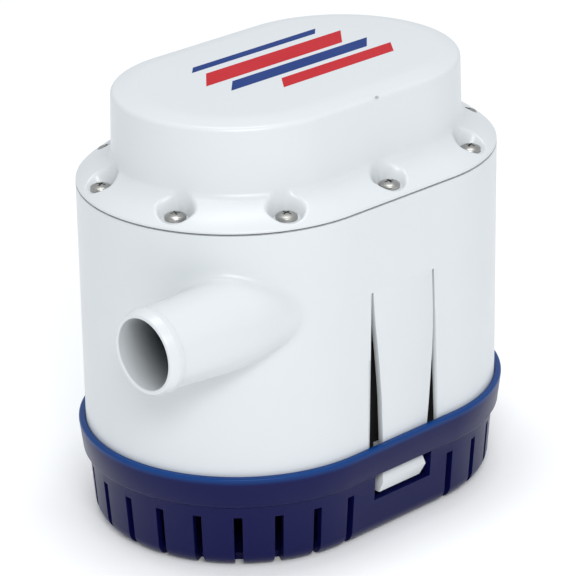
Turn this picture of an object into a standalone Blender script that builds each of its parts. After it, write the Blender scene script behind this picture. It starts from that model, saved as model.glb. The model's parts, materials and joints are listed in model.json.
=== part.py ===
"""Submersible bilge pump with a snap-off strainer base, built from its separate pieces.

Frame: +Z up, origin at the centre of the strainer's underside, long axis of the oval along X,
the discharge nozzle pointing along -X. Driving sizes are in millimetres.
"""
import math

import bmesh
import bpy

MM = 0.001
GAP = 0.3                     # clearance kept between pieces that touch
PAST = 3.0                    # a cutter runs this far past what it cuts

# ---- oval plan shared by the strainer, the housing and the cover ----
END_X = 25.2                  # centres of the round ends
END_R = 56.8                  # radius of the round ends, half the width
ARC_STEPS = 24                # facets on each round end

# ---- heights ----
FLOOR_T = 2.6                 # strainer floor
LEDGE_Z = 27.5                # ledge inside the strainer's collar, which the housing stands on
COLLAR_Z = 37.4               # top of the strainer's collar
COLLAR_LOW_Z = 26.0           # its lower edge
SEAM_Z = 127.3                # joint between housing and cover
APRON_Z = 136.8               # top of the cover's sloping flange
TOP_Z = 162.3                 # flat top of the cover

# ---- housing ----
WALL = 3.0                    # thickness of the moulded walls
DECK_Z0 = 50.0                # bulkhead between the wet and the dry side
DECK_Z1 = 53.0
HOUSING_Z0 = LEDGE_Z + GAP
RIM_W = 0.9                   # outer lip that hides the gasket

# ---- latch arms ----
SLIT_TOP_Z = 96.0
WINDOW_TOP_X = 15.5           # half width of the housing's opening at the top and at the bottom
WINDOW_LOW_X = 18.0
ARM_TOP_X = 14.6              # half width of the arm at the top and at the bottom
ARM_LOW_X = 11.2
CATCH_X = 12.0
CATCH_Z0 = 16.8
CATCH_Z1 = 25.0
STEM_IN = 3.4                 # the stem runs this far inside the housing's face
STEM_T = 2.7
POCKET_X = 21.0               # recess behind each arm, which keeps the dry side closed
POCKET_Y = 45.0
POCKET_WALL = 2.2
POCKET_TOP_Z = 99.0

# ---- strainer ----
SLOT_W = 3.1
SLOT_TOP_Z = 20.6
SLOT_STEP_DEG = 15
STRAINER_WINDOW_X = 14.5
STRAINER_WINDOW_Z0 = 14.6
STRAINER_WINDOW_Z1 = 25.6
FOOT_HOLE_R = 2.4
FOOT_HOLES = [(40.0, 22.0), (40.0, -22.0), (-40.0, 22.0), (-40.0, -22.0)]

# ---- discharge nozzle, for 1-1/8 inch hose ----
NOZZLE_Y = -40.0
NOZZLE_Z = 96.7
MOUTH_X = -105.9
BARREL_R = 14.3
BORE_R = 12.6
LIP_R = 15.0
LIP_L = 5.3

# ---- water way ----
RISER = (-44.0, -34.0)
RISER_R = 12.0
RISER_WALL = 2.6
RISER_TOP_Z = 113.0
VOLUTE_R = 33.5
VOLUTE_WALL = 4.5
VOLUTE_Z0 = 33.0
VOLUTE_PLATE_T = 2.6
INTAKE_R = 14.0
VOLUTE_SCREW_R = 35.8         # the four screws stand on this circle
VOLUTE_SCREW_SHANK_R = 1.1
VOLUTE_SCREW_TIP_Z = 41.0
IMPELLER_R = 28.0
HUB_R = 6.0
VANE_Z0 = 37.0
VANE_Z1 = 46.4
VANES = 6
VANE_SWEEP = 0.9              # radians that a vane curls back between hub and rim

# ---- cover ----
DOME_IN = 12.7                # dome wall, inside the oval
HOLLOW_IN = 14.6              # mouth of the cover's hollow, clear of the screw pockets
SCREW_IN = 6.6
POCKET_R = 6.0
POCKET_FLOOR_Z = 129.4
HEAD_R = 3.8
SHANK_R = 1.9
SCREW_TIP_Z = 112.8
BOSS_R = 4.6
BOSS_L = 17.0
END_SCREW_DEG = [-66.6, -22.6, 22.6, 66.6]

# ---- motor ----
CAN_R = 30.0
CAN_T = 1.6
CAN_Z0 = 56.0
CAN_Z1 = 130.0
SHAFT_R = 2.5
CAP_Z0 = CAN_Z1 + GAP
CAP_Z1 = 134.0
BUSH_R = 5.0
BUSH_TOP_Z = 62.0
SEAL_R = 8.0
BOLT_Y = 26.0
BOLT_R = 1.5
MAGNET_R = 24.8               # inner face of the magnets
MAGNET_HALF_DEG = 62
MAGNET_Z0 = 66.0
MAGNET_Z1 = 112.0
CORE_R = 23.1
CORE_Z0 = 70.0
CORE_Z1 = 108.0
CORE_SLOTS = 10
BRUSH_Z = 122.5
BRUSH_HALF = 3.0              # half the brush's square section
BRUSH_END_X = 16.0
COMMUTATOR_R = 8.0
COMMUTATOR_HALF_L = 5.5

# ---- float switch ----
FLOAT_X = 57.0
CHAMBER_R = 15.8
CHAMBER_WALL = 2.2
CHAMBER_TOP_Z = 106.0
STEM_R = 4.2
FLOAT_R = 14.6
FLOAT_Z0 = 57.8
FLOAT_Z1 = 80.0
BOARD_Z = 112.0
BOARD_T = 1.6
SMALL_SCREW_R = 1.2
BOARD_SCREWS = {"inner": FLOAT_X - 13.0, "outer": FLOAT_X + 13.0}

# ---- cable gland, on the rear wall ----
GLAND_X = -13.0
GLAND_Z = 112.0
GLAND_BODY_R = 6.0
GLAND_BORE_R = 3.6

FINISHES = {                  # linear colour, metallic, roughness
    "white_abs": ((0.76, 0.80, 0.82), 0.0, 0.32),
    "navy_abs": ((0.012, 0.018, 0.10), 0.0, 0.35),
    "stainless": ((0.55, 0.55, 0.54), 1.0, 0.3),
    "black_rubber": ((0.02, 0.02, 0.02), 0.0, 0.7),
    "zinc_steel": ((0.5, 0.5, 0.52), 1.0, 0.4),
    "bronze": ((0.45, 0.27, 0.1), 1.0, 0.45),
    "copper": ((0.62, 0.24, 0.1), 1.0, 0.35),
    "lamination": ((0.22, 0.22, 0.23), 1.0, 0.5),
    "ferrite": ((0.05, 0.05, 0.055), 0.0, 0.6),
    "carbon": ((0.03, 0.03, 0.03), 0.0, 0.65),
    "foam": ((0.03, 0.03, 0.035), 0.0, 0.85),
    "glass": ((0.5, 0.6, 0.5), 0.0, 0.1),
    "board_green": ((0.02, 0.16, 0.05), 0.0, 0.4),
    "red_pvc": ((0.5, 0.02, 0.02), 0.0, 0.45),
}


# ------------------------------------------------------------------ mesh tools
def clear_scene():
    for old in list(bpy.data.objects):
        bpy.data.objects.remove(old)


def material(slot):
    found = bpy.data.materials.get(slot)
    if found:
        return found
    colour, metallic, roughness = FINISHES[slot]
    made = bpy.data.materials.new(slot)
    made.use_nodes = True
    shader = made.node_tree.nodes["Principled BSDF"]
    shader.inputs["Base Color"].default_value = (*colour, 1.0)
    shader.inputs["Metallic"].default_value = metallic
    shader.inputs["Roughness"].default_value = roughness
    return made


def add_object(name, mesh, slot=None):
    piece = bpy.data.objects.new(name, mesh)
    bpy.context.scene.collection.objects.link(piece)
    if slot:
        mesh.materials.append(material(slot))
        mesh.shade_smooth()
        mesh.set_sharp_from_angle(angle=math.radians(35))
    else:
        piece.hide_render = True
        piece.display_type = 'WIRE'
    return piece


def loft(name, rings, slot=None, loop=False):
    """Skin rings of equal count; capped at both ends, or closed on itself when loop is set."""
    mesh = bpy.data.meshes.new(name)
    body = bmesh.new()
    rows = [[body.verts.new((x * MM, y * MM, z * MM)) for x, y, z in ring] for ring in rings]
    count = len(rows[0])
    pairs = list(zip(rows, rows[1:]))
    if loop:
        pairs.append((rows[-1], rows[0]))
    for low, high in pairs:
        for i in range(count):
            j = (i + 1) % count
            body.faces.new((low[i], low[j], high[j], high[i]))
    if not loop:
        body.faces.new(list(reversed(rows[0])))
        body.faces.new(rows[-1])
    body.to_mesh(mesh)
    body.free()
    return add_object(name, mesh, slot)


def oval(inset, z):
    """Outline of the oval moved inwards by inset, anticlockwise from the right end's lower side."""
    radius = END_R - inset
    ring = []
    for side in (1, -1):
        for step in range(ARC_STEPS + 1):
            angle = math.pi * (step / ARC_STEPS - 0.5)
            ring.append((side * (END_X + radius * math.cos(angle)),
                         side * radius * math.sin(angle), z))
    return ring


def oval_loft(name, profile, slot=None, loop=False):
    return loft(name, [oval(inset, z) for inset, z in profile], slot, loop)


def circle(radius, height, centre, axis, steps):
    cx, cy, cz = centre
    ring = []
    for i in range(steps):
        angle = 2 * math.pi * i / steps
        u = radius * math.cos(angle)
        v = radius * math.sin(angle)
        if axis == "Z":
            ring.append((cx + u, cy + v, cz + height))
        elif axis == "X":
            ring.append((cx + height, cy + u, cz + v))
        else:
            ring.append((cx + v, cy + height, cz + u))
    return ring


def turned(name, profile, slot=None, centre=(0, 0, 0), axis="Z", steps=32, loop=False):
    """Turn (radius, height) points about the axis; loop closes the profile into a ring."""
    return loft(name, [circle(r, h, centre, axis, steps) for r, h in profile], slot, loop)


def tube(name, outer, inner, low, high, slot=None, centre=(0, 0, 0), axis="Z", steps=32):
    profile = [(outer, low), (outer, high), (inner, high), (inner, low)]
    return turned(name, profile, slot, centre, axis, steps, loop=True)


def rod(name, radius, low, high, slot=None, centre=(0, 0, 0), axis="Z", steps=32):
    return turned(name, [(radius, low), (radius, high)], slot, centre, axis, steps)


def box(name, low, high, slot=None):
    x0, y0, z0 = low
    x1, y1, z1 = high
    rings = [[(x0, y0, z), (x1, y0, z), (x1, y1, z), (x0, y1, z)] for z in (z0, z1)]
    return loft(name, rings, slot)


def prism(name, outline, low, high, slot=None):
    """Straight extrusion along Z of an outline given anticlockwise."""
    return loft(name, [[(x, y, z) for x, y in outline] for z in (low, high)], slot)


def side_plate(name, outline, y0, y1, slot=None):
    """Extrude an (x, z) outline, anticlockwise seen from the front, from y0 back to y1."""
    rings = [[(x, y, z) for x, z in outline] for y in (y1, y0)]
    return loft(name, rings, slot)


def merged(name, pieces):
    """Join separate closed cutters into one cutter object."""
    mesh = bpy.data.meshes.new(name)
    body = bmesh.new()
    for piece in pieces:
        body.from_mesh(piece.data)
    body.to_mesh(mesh)
    body.free()
    for piece in pieces:
        bpy.data.objects.remove(piece)
    return add_object(name, mesh)


def boolean(piece, other, operation):
    modifier = piece.modifiers.new(operation.lower() + "_" + other.name, 'BOOLEAN')
    modifier.operation = operation
    modifier.solver = 'EXACT'
    modifier.object = other


def cut(piece, *cutters):
    for cutter in cutters:
        boolean(piece, cutter, 'DIFFERENCE')


def unite(piece, *others):
    for other in others:
        boolean(piece, other, 'UNION')


def mirror_y(outline_object, name, slot=None):
    """A copy turned half round about Z, for the rear of the pump."""
    mesh = outline_object.data.copy()
    for vertex in mesh.vertices:
        vertex.co.x *= -1
        vertex.co.y *= -1
    return add_object(name, mesh, slot)


def along_oval(inset, degrees, side):
    """Point at an angle about one end's centre; side is 1 for +X and -1 for -X."""
    angle = math.radians(degrees)
    radius = END_R - inset
    return (side * (END_X + radius * math.cos(angle)), side * radius * math.sin(angle))


def cover_screw_places():
    places = [(0.0, END_R - SCREW_IN), (0.0, SCREW_IN - END_R)]
    for side in (1, -1):
        places += [along_oval(SCREW_IN, degrees, side) for degrees in END_SCREW_DEG]
    return places


# ------------------------------------------------------------------ strainer
def strainer_slots():
    """Radial slots under the collar, open through the rounded bottom edge."""
    near = END_R - 9.5
    far = END_R + PAST
    cutters = []
    for side in (1, -1):
        for step in range(-90, 91, SLOT_STEP_DEG):
            angle = math.radians(step)
            ux = math.cos(angle) * side
            uy = math.sin(angle) * side
            corners = []
            for radius, half in ((near, -1), (far, -1), (far, 1), (near, 1)):
                corners.append((side * END_X + ux * radius - uy * half * SLOT_W / 2,
                                uy * radius + ux * half * SLOT_W / 2))
            cutters.append(prism("slot", corners, -PAST, SLOT_TOP_Z))
    return merged("strainer_slots", cutters)


def strainer_windows():
    """Openings for the catches, and the ledge cut back where the arms' stems pass."""
    cutters = []
    for side in (-1, 1):
        y_in, y_out = sorted((side * (END_R - 12), side * (END_R + 2 * PAST)))
        cutters.append(box("window", (-STRAINER_WINDOW_X, y_in, STRAINER_WINDOW_Z0),
                           (STRAINER_WINDOW_X, y_out, STRAINER_WINDOW_Z1)))
        y_in, y_out = sorted((side * (END_R - 12), side * (END_R - STEM_IN + 0.7)))
        cutters.append(box("stem_way", (-STRAINER_WINDOW_X, y_in, STRAINER_WINDOW_Z1 - 1),
                           (STRAINER_WINDOW_X, y_out, LEDGE_Z + 2)))
    first, second, third, fourth = cutters
    return (merged("window_cut", [first, third]), merged("stem_cut", [second, fourth]))


def make_strainer():
    profile = [(8.3, 0), (5.2, 0.8), (3.0, 3.1), (2.2, 5.6), (0.7, COLLAR_LOW_Z - 1.8),
               (-1.4, COLLAR_LOW_Z), (-2.7, COLLAR_Z - 0.5), (-2.4, COLLAR_Z), (-GAP, COLLAR_Z),
               (-GAP, LEDGE_Z), (4.2, LEDGE_Z), (4.9, 6.5), (7.5, FLOOR_T)]
    base = oval_loft("strainer_base", profile, "navy_abs")
    holes = [rod("hole", FOOT_HOLE_R, -PAST, FLOOR_T + PAST, centre=(x, y, 0), steps=16)
             for x, y in FOOT_HOLES]
    window_cut, stem_cut = strainer_windows()
    cut(base, strainer_slots(), window_cut, stem_cut, merged("foot_holes", holes))


# ------------------------------------------------------------------ housing
def volute_outline(radius, riser_radius):
    """Outline round the impeller chamber and the foot of the riser, as one rounded shape."""
    length = math.hypot(*RISER)
    heading = math.atan2(RISER[1], RISER[0])
    lean = math.acos((radius - riser_radius) / length)
    points = []
    for i in range(33):
        angle = heading + lean + (2 * math.pi - 2 * lean) * i / 32
        points.append((radius * math.cos(angle), radius * math.sin(angle)))
    for i in range(13):
        angle = heading - lean + 2 * lean * i / 12
        points.append((RISER[0] + riser_radius * math.cos(angle),
                       RISER[1] + riser_radius * math.sin(angle)))
    return points


def make_dry_cavity():
    """The space above the bulkhead, less the walls that stand in it."""
    cavity = oval_loft("dry_cavity", [(WALL, DECK_Z1), (WALL, SEAM_Z + PAST)])
    for side in (-1, 1):
        wall = POCKET_Y - POCKET_WALL
        y_in, y_out = sorted((side * wall, side * (END_R + PAST)))
        pocket = box("pocket_block", (-POCKET_X - POCKET_WALL, y_in, DECK_Z0),
                     (POCKET_X + POCKET_WALL, y_out, POCKET_TOP_Z + POCKET_WALL))
        cut(cavity, pocket)
    riser = rod("riser_column", RISER_R + RISER_WALL, DECK_Z0, RISER_TOP_Z, centre=(*RISER, 0), steps=28)
    chamber = rod("chamber_column", CHAMBER_R + CHAMBER_WALL, DECK_Z0, CHAMBER_TOP_Z,
                  centre=(FLOAT_X, 0, 0), steps=28)
    seat = tube("seal_seat", SEAL_R + 3.0, SHAFT_R + 1.5, DECK_Z0, CAN_Z0 - 0.6, steps=28)
    bosses = [rod("boss", BOSS_R, SEAM_Z - BOSS_L, SEAM_Z - 1, centre=(x, y, 0), steps=16)
              for x, y in cover_screw_places()]
    cut(cavity, riser, chamber, seat, merged("screw_bosses", bosses))
    return cavity


def make_wet_cavity():
    """The space under the bulkhead, less the impeller chamber's wall and the latch recesses."""
    cavity = oval_loft("wet_cavity", [(WALL, HOUSING_Z0 - PAST), (WALL, DECK_Z0)])
    block = prism("volute_block", volute_outline(VOLUTE_R + VOLUTE_WALL, RISER_R + RISER_WALL),
                  VOLUTE_Z0, DECK_Z0 + PAST)
    cut(cavity, block)
    for side in (-1, 1):
        y_in, y_out = sorted((side * (POCKET_Y - POCKET_WALL), side * (END_R + PAST)))
        pocket = box("pocket_low_block", (-POCKET_X - POCKET_WALL, y_in, HOUSING_Z0 - 2 * PAST),
                     (POCKET_X + POCKET_WALL, y_out, DECK_Z0 + PAST))
        cut(cavity, pocket)
    return cavity


def make_latch_openings():
    """Tapered opening in the wall for each arm, and the recess behind it."""
    low = HOUSING_Z0 - PAST
    outline = [(-WINDOW_LOW_X, low), (WINDOW_LOW_X, low),
               (WINDOW_TOP_X, SLIT_TOP_Z), (-WINDOW_TOP_X, SLIT_TOP_Z)]
    opening = side_plate("opening_front", outline, -END_R - PAST, -END_R + WALL + 1)
    recess = box("recess_front", (-POCKET_X, -END_R + WALL, low), (POCKET_X, -POCKET_Y, POCKET_TOP_Z))
    return [opening, recess, mirror_y(opening, "opening_rear"), mirror_y(recess, "recess_rear")]


def nozzle_profile():
    """Outer line of the nozzle: tapered lip, barrel, then a tail that runs out inside the wall."""
    return [(LIP_R - 1.2, 0.0), (LIP_R - 0.7, 0.5), (LIP_R, 2.6), (LIP_R, LIP_L), (BARREL_R, LIP_L + 0.5),
            (BARREL_R, 20.0), (BARREL_R + 0.3, 34.0), (BARREL_R - 0.3, 46.0), (BARREL_R - 1.2, 59.0),
            (9.0, 66.0)]


def make_housing():
    profile = [(0.0, HOUSING_Z0), (0.0, SEAM_Z), (RIM_W, SEAM_Z), (RIM_W, SEAM_Z - 1.1)]
    housing = oval_loft("housing", profile, "white_abs")
    nozzle_at = (MOUTH_X, NOZZLE_Y, NOZZLE_Z)
    nozzle = turned("nozzle_outer", nozzle_profile(), centre=nozzle_at, axis="X", steps=36)
    bore = rod("nozzle_bore", BORE_R, -PAST, RISER[0] - MOUTH_X + PAST, centre=nozzle_at, axis="X", steps=36)
    cavity = make_dry_cavity()
    cut(cavity, nozzle)
    unite(housing, nozzle)
    cut(housing, cavity, make_wet_cavity(), *make_latch_openings())
    chamber = prism("volute_chamber", volute_outline(VOLUTE_R, RISER_R), VOLUTE_Z0 - PAST, DECK_Z0 - 0.01)
    riser = rod("riser_bore", RISER_R, DECK_Z0 - PAST, RISER_TOP_Z - RISER_WALL, centre=(*RISER, 0), steps=28)
    float_way = rod("float_way", CHAMBER_R, DECK_Z0 - PAST, CHAMBER_TOP_Z - CHAMBER_WALL,
                    centre=(FLOAT_X, 0, 0), steps=28)
    stem_hole = rod("stem_hole", STEM_R + GAP, CHAMBER_TOP_Z - 5, CHAMBER_TOP_Z + PAST,
                    centre=(FLOAT_X, 0, 0), steps=16)
    seal_hole = rod("seal_hole", SEAL_R + GAP, DECK_Z0 - PAST, CAN_Z0 + PAST, steps=28)
    gland_hole = rod("gland_hole", GLAND_BODY_R + GAP, END_R - WALL - PAST, END_R + PAST,
                     centre=(GLAND_X, 0, GLAND_Z), axis="Y", steps=24)
    screw_holes = [rod("hole", SHANK_R + GAP, SCREW_TIP_Z - 1, SEAM_Z + PAST, centre=(x, y, 0), steps=12)
                   for x, y in cover_screw_places()]
    board_holes = [rod("hole", SMALL_SCREW_R + GAP, CHAMBER_TOP_Z - 1.8, CHAMBER_TOP_Z + PAST,
                       centre=(x, 0, 0), steps=10) for x in BOARD_SCREWS.values()]
    volute_holes = [rod("hole", VOLUTE_SCREW_SHANK_R + GAP, VOLUTE_Z0 - PAST, VOLUTE_SCREW_TIP_Z + 1.5,
                        centre=(x, y, 0), steps=10) for x, y in volute_screw_places()]
    cut(housing, chamber, riser, float_way, stem_hole, seal_hole, gland_hole, bore,
        merged("screw_holes", screw_holes), merged("board_holes", board_holes),
        merged("volute_holes", volute_holes))


def make_latch_arms():
    """Springing tongue, its stem inside the collar, and the catch that shows in the window."""
    root = SLIT_TOP_Z - GAP
    stem_top = LEDGE_Z + 5.0
    tongue = side_plate("latch_arm_front", [(-ARM_LOW_X, stem_top), (ARM_LOW_X, stem_top),
                                            (ARM_TOP_X, root), (-ARM_TOP_X, root)],
                        -END_R, -END_R + WALL, "white_abs")
    stem = box("stem", (-ARM_LOW_X, -END_R + STEM_IN, CATCH_Z0),
               (ARM_LOW_X, -END_R + STEM_IN + STEM_T, stem_top + 6.0))
    neck = box("neck", (-ARM_LOW_X, -END_R + 1.0, stem_top),
               (ARM_LOW_X, -END_R + STEM_IN + 1.0, stem_top + 4.0))
    catch = box("catch", (-CATCH_X, -END_R + 0.6, CATCH_Z0),
                (CATCH_X, -END_R + STEM_IN + STEM_T, CATCH_Z1))
    unite(tongue, neck, stem, catch)
    rear = mirror_y(tongue, "latch_arm_rear", "white_abs")
    unite(rear, mirror_y(neck, "neck_rear"), mirror_y(stem, "stem_rear"), mirror_y(catch, "catch_rear"))


# ------------------------------------------------------------------ cover
def make_cover():
    bottom = SEAM_Z + GAP
    profile = [(0.0, bottom), (0.0, bottom + 0.5), (0.4, bottom + 0.9), (DOME_IN - 0.8, APRON_Z - 0.6),
               (DOME_IN, APRON_Z + 0.2), (DOME_IN + 0.4, 158.4), (DOME_IN + 1.1, 160.0),
               (DOME_IN + 2.6, 160.8), (DOME_IN + 9.0, TOP_Z)]
    cover = oval_loft("cover", profile, "white_abs")
    hollow = oval_loft("cover_hollow", [(HOLLOW_IN, bottom - PAST), (HOLLOW_IN, bottom + 2.6),
                                        (DOME_IN + 3.3, APRON_Z + 1), (DOME_IN + 3.7, TOP_Z - 5.5),
                                        (DOME_IN + 9.0, TOP_Z - 3)])
    pockets = [rod("pocket", POCKET_R, POCKET_FLOOR_Z, APRON_Z + 4, centre=(x, y, 0), steps=24)
               for x, y in cover_screw_places()]
    holes = [rod("hole", SHANK_R + GAP, bottom - PAST, POCKET_FLOOR_Z + PAST, centre=(x, y, 0), steps=12)
             for x, y in cover_screw_places()]
    cut(cover, hollow, merged("screw_pockets", pockets), merged("cover_holes", holes))
    gasket = [(RIM_W + GAP, SEAM_Z - 0.8), (RIM_W + GAP, SEAM_Z - 0.05),
              (WALL - 0.2, SEAM_Z - 0.05), (WALL - 0.2, SEAM_Z - 0.8)]
    oval_loft("cover_gasket", gasket, "black_rubber", loop=True)


def make_cover_screws():
    seat = POCKET_FLOOR_Z + GAP
    profile = [(0.6, SCREW_TIP_Z), (SHANK_R, SCREW_TIP_Z + 2), (SHANK_R, seat), (HEAD_R, seat),
               (HEAD_R, seat + 1.0), (HEAD_R - 0.7, seat + 1.8), (HEAD_R - 2.2, seat + 2.3)]
    for number, (x, y) in enumerate(cover_screw_places(), start=1):
        turned(f"cover_screw_{number:02d}", profile, "stainless", centre=(x, y, 0), steps=16)


# ------------------------------------------------------------------ water end
def volute_screw_places():
    places = []
    for degrees in (20, 110, 160, 290):
        angle = math.radians(degrees)
        places.append((VOLUTE_SCREW_R * math.cos(angle), VOLUTE_SCREW_R * math.sin(angle)))
    return places


def make_water_end():
    plate_top = VOLUTE_Z0 - GAP
    plate_low = plate_top - VOLUTE_PLATE_T
    plate = prism("volute_plate", volute_outline(VOLUTE_R + VOLUTE_WALL, RISER_R + RISER_WALL),
                  plate_low, plate_top, "navy_abs")
    intake = rod("intake", INTAKE_R, plate_low - PAST, plate_top + PAST, steps=28)
    holes = [rod("hole", VOLUTE_SCREW_SHANK_R + GAP, plate_low - PAST, plate_top + PAST,
                 centre=(x, y, 0), steps=10) for x, y in volute_screw_places()]
    clear_x = POCKET_X + POCKET_WALL + GAP
    corner = box("recess_clearance", (-clear_x, -END_R, plate_low - PAST),
                 (clear_x, -POCKET_Y + POCKET_WALL + GAP, plate_top + PAST))
    cut(plate, intake, corner, merged("plate_holes", holes))
    head = plate_low - GAP
    profile = [(2.2, head - 1.5), (2.4, head), (VOLUTE_SCREW_SHANK_R, head),
               (VOLUTE_SCREW_SHANK_R, VOLUTE_SCREW_TIP_Z)]
    for number, (x, y) in enumerate(volute_screw_places(), start=1):
        turned(f"volute_screw_{number}", profile, "stainless", centre=(x, y, 0), steps=12)
    make_impeller()
    tube("shaft_seal", SEAL_R, SHAFT_R + GAP, DECK_Z0 + 0.2, CAN_Z0 - 0.8, "black_rubber", steps=28)


def vane(start):
    """One backswept blade, as an outline that curls from the hub to the rim."""
    inner = HUB_R - 0.8
    outer = IMPELLER_R - 0.6
    half_width = 0.9
    steps = 6
    front = []
    back = []
    for i in range(steps + 1):
        part = i / steps
        radius = inner + (outer - inner) * part
        angle = start - VANE_SWEEP * part
        turn = half_width / radius
        front.append((radius * math.cos(angle - turn), radius * math.sin(angle - turn)))
        back.append((radius * math.cos(angle + turn), radius * math.sin(angle + turn)))
    return prism("vane", front + list(reversed(back)), VANE_Z0, VANE_Z1)


def make_impeller():
    disc = VANE_Z1 - 0.4
    disc_top = disc + 2.2
    hub_low = VANE_Z0 - 0.6
    hub_top = disc_top + 1.0
    profile = [(HUB_R, hub_low), (HUB_R, disc), (IMPELLER_R, disc), (IMPELLER_R, disc_top),
               (HUB_R + 0.5, disc_top), (HUB_R + 0.5, hub_top), (SHAFT_R + GAP, hub_top),
               (SHAFT_R + GAP, hub_low)]
    impeller = turned("impeller", profile, "navy_abs", steps=36, loop=True)
    blades = [vane(2 * math.pi * i / VANES) for i in range(VANES)]
    unite(impeller, merged("impeller_vanes", blades))
    bore = (SHAFT_R + GAP) / math.cos(math.pi / 6)
    nut_top = hub_low - GAP
    nut_low = nut_top - 2.5
    turned("impeller_nut", [(4.6, nut_low), (5.2, nut_low + 0.4), (5.2, nut_top),
                            (bore, nut_top), (bore, nut_low)], "stainless", steps=6, loop=True)


# ------------------------------------------------------------------ motor
def make_motor_case():
    tube("motor_cushion", 29.0, 24.0, DECK_Z1 + GAP, CAN_Z0 - GAP, "black_rubber", steps=32)
    inner = CAN_R - CAN_T
    seat_r = BUSH_R + GAP
    neck_r = BUSH_R + 3.0
    profile = [(seat_r, CAN_Z0), (CAN_R, CAN_Z0), (CAN_R, CAN_Z1), (inner, CAN_Z1), (inner, CAN_Z0 + CAN_T),
               (neck_r, CAN_Z0 + CAN_T), (neck_r, BUSH_TOP_Z), (seat_r, BUSH_TOP_Z)]
    can = turned("motor_can", profile, "zinc_steel", steps=36, loop=True)
    cut(can, bolt_holes("can_holes", CAN_Z0 - PAST, CAN_Z0 + PAST))
    running_fit = SHAFT_R + 0.05
    tube("lower_bearing", BUSH_R, running_fit, CAN_Z0 + GAP, BUSH_TOP_Z, "bronze", steps=20)
    tube("upper_bearing", BUSH_R, running_fit, CAN_Z1 - 0.5, CAP_Z1 + 1.2, "bronze", steps=20)
    make_magnet("magnet_left", 180, inner - GAP)
    make_magnet("magnet_right", 0, inner - GAP)
    make_end_cap(inner)
    seat = CAP_Z1 + GAP
    profile = [(BOLT_R, CAN_Z0 + GAP), (BOLT_R, seat), (2.9, seat), (2.9, seat + 1.2), (1.8, seat + 2.0)]
    for name, y in (("motor_bolt_front", -BOLT_Y), ("motor_bolt_rear", BOLT_Y)):
        turned(name, profile, "zinc_steel", centre=(0, y, 0), steps=12)


def bolt_holes(name, low, high):
    holes = [rod("hole", BOLT_R + GAP, low, high, centre=(0, y, 0), steps=12) for y in (BOLT_Y, -BOLT_Y)]
    return merged(name, holes)


def make_magnet(name, heading, outer):
    """Curved segment against the inside of the can."""
    outline = []
    for radius, turn in ((MAGNET_R, -1), (outer, 1)):
        for i in range(13):
            angle = math.radians(heading + turn * MAGNET_HALF_DEG * (i / 6 - 1))
            outline.append((radius * math.cos(angle), radius * math.sin(angle)))
    prism(name, outline, MAGNET_Z0, MAGNET_Z1, "ferrite")


def make_end_cap(inner):
    """Moulded end bell with the upper bearing's seat and two brush boxes that hang into the can."""
    spigot = inner - GAP
    seat_r = BUSH_R + GAP
    profile = [(spigot - 2.2, CAP_Z0 - 3.5), (spigot, CAP_Z0 - 3.5), (spigot, CAP_Z0), (CAN_R, CAP_Z0),
               (CAN_R, CAP_Z1), (9.0, CAP_Z1), (8.0, CAP_Z1 + 3.5), (4.0, CAP_Z1 + 3.5),
               (4.0, CAP_Z1 + 1.5), (seat_r, CAP_Z1 + 1.5), (seat_r, CAP_Z0), (spigot - 2.2, CAP_Z0)]
    cap = turned("motor_end_cap", profile, "navy_abs", steps=36, loop=True)
    for side, label in ((1, "right"), (-1, "left")):
        x0, x1 = sorted((side * 10.0, side * 24.5))
        wall = BRUSH_HALF + 2.0
        holder = box("holder_" + label, (x0, -wall, BRUSH_Z - wall), (x1, wall, CAP_Z0 + 1))
        x0, x1 = sorted((side * 7.0, side * 22.7))
        way = BRUSH_HALF + GAP
        tunnel = box("tunnel_" + label, (x0, -way, BRUSH_Z - way), (x1, way, BRUSH_Z + way))
        unite(cap, holder)
        cut(cap, tunnel)
        x0, x1 = sorted((side * (COMMUTATOR_R + GAP), side * BRUSH_END_X))
        box("brush_" + label, (x0, -BRUSH_HALF, BRUSH_Z - BRUSH_HALF),
            (x1, BRUSH_HALF, BRUSH_Z + BRUSH_HALF), "carbon")
        coil_spring("brush_spring_" + label, side)
    cut(cap, bolt_holes("cap_holes", CAP_Z0 - 2 * PAST, CAP_Z1 + PAST))


def wire(name, points, radius, slot, sides=2):
    """Round wire through the points, with filled ends."""
    data = bpy.data.curves.new(name, 'CURVE')
    data.dimensions = '3D'
    data.bevel_depth = radius * MM
    data.bevel_resolution = sides
    data.use_fill_caps = True
    data.materials.append(material(slot))
    spline = data.splines.new('POLY')
    spline.points.add(len(points) - 1)
    for spot, (x, y, z) in zip(spline.points, points):
        spot.co = (x * MM, y * MM, z * MM, 1.0)
    piece = bpy.data.objects.new(name, data)
    bpy.context.scene.collection.objects.link(piece)
    return piece


def coil_spring(name, side):
    """Small compression spring between a brush and the closed end of its box."""
    turns = 3.5
    per_turn = 12
    radius = 2.1
    length = 4.9
    count = int(turns * per_turn)
    points = []
    for i in range(count + 1):
        angle = 2 * math.pi * i / per_turn
        x = side * (BRUSH_END_X + 0.9 + length * i / count)
        points.append((x, radius * math.cos(angle), BRUSH_Z + radius * math.sin(angle)))
    wire(name, points, 0.35, "stainless", sides=1)


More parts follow.
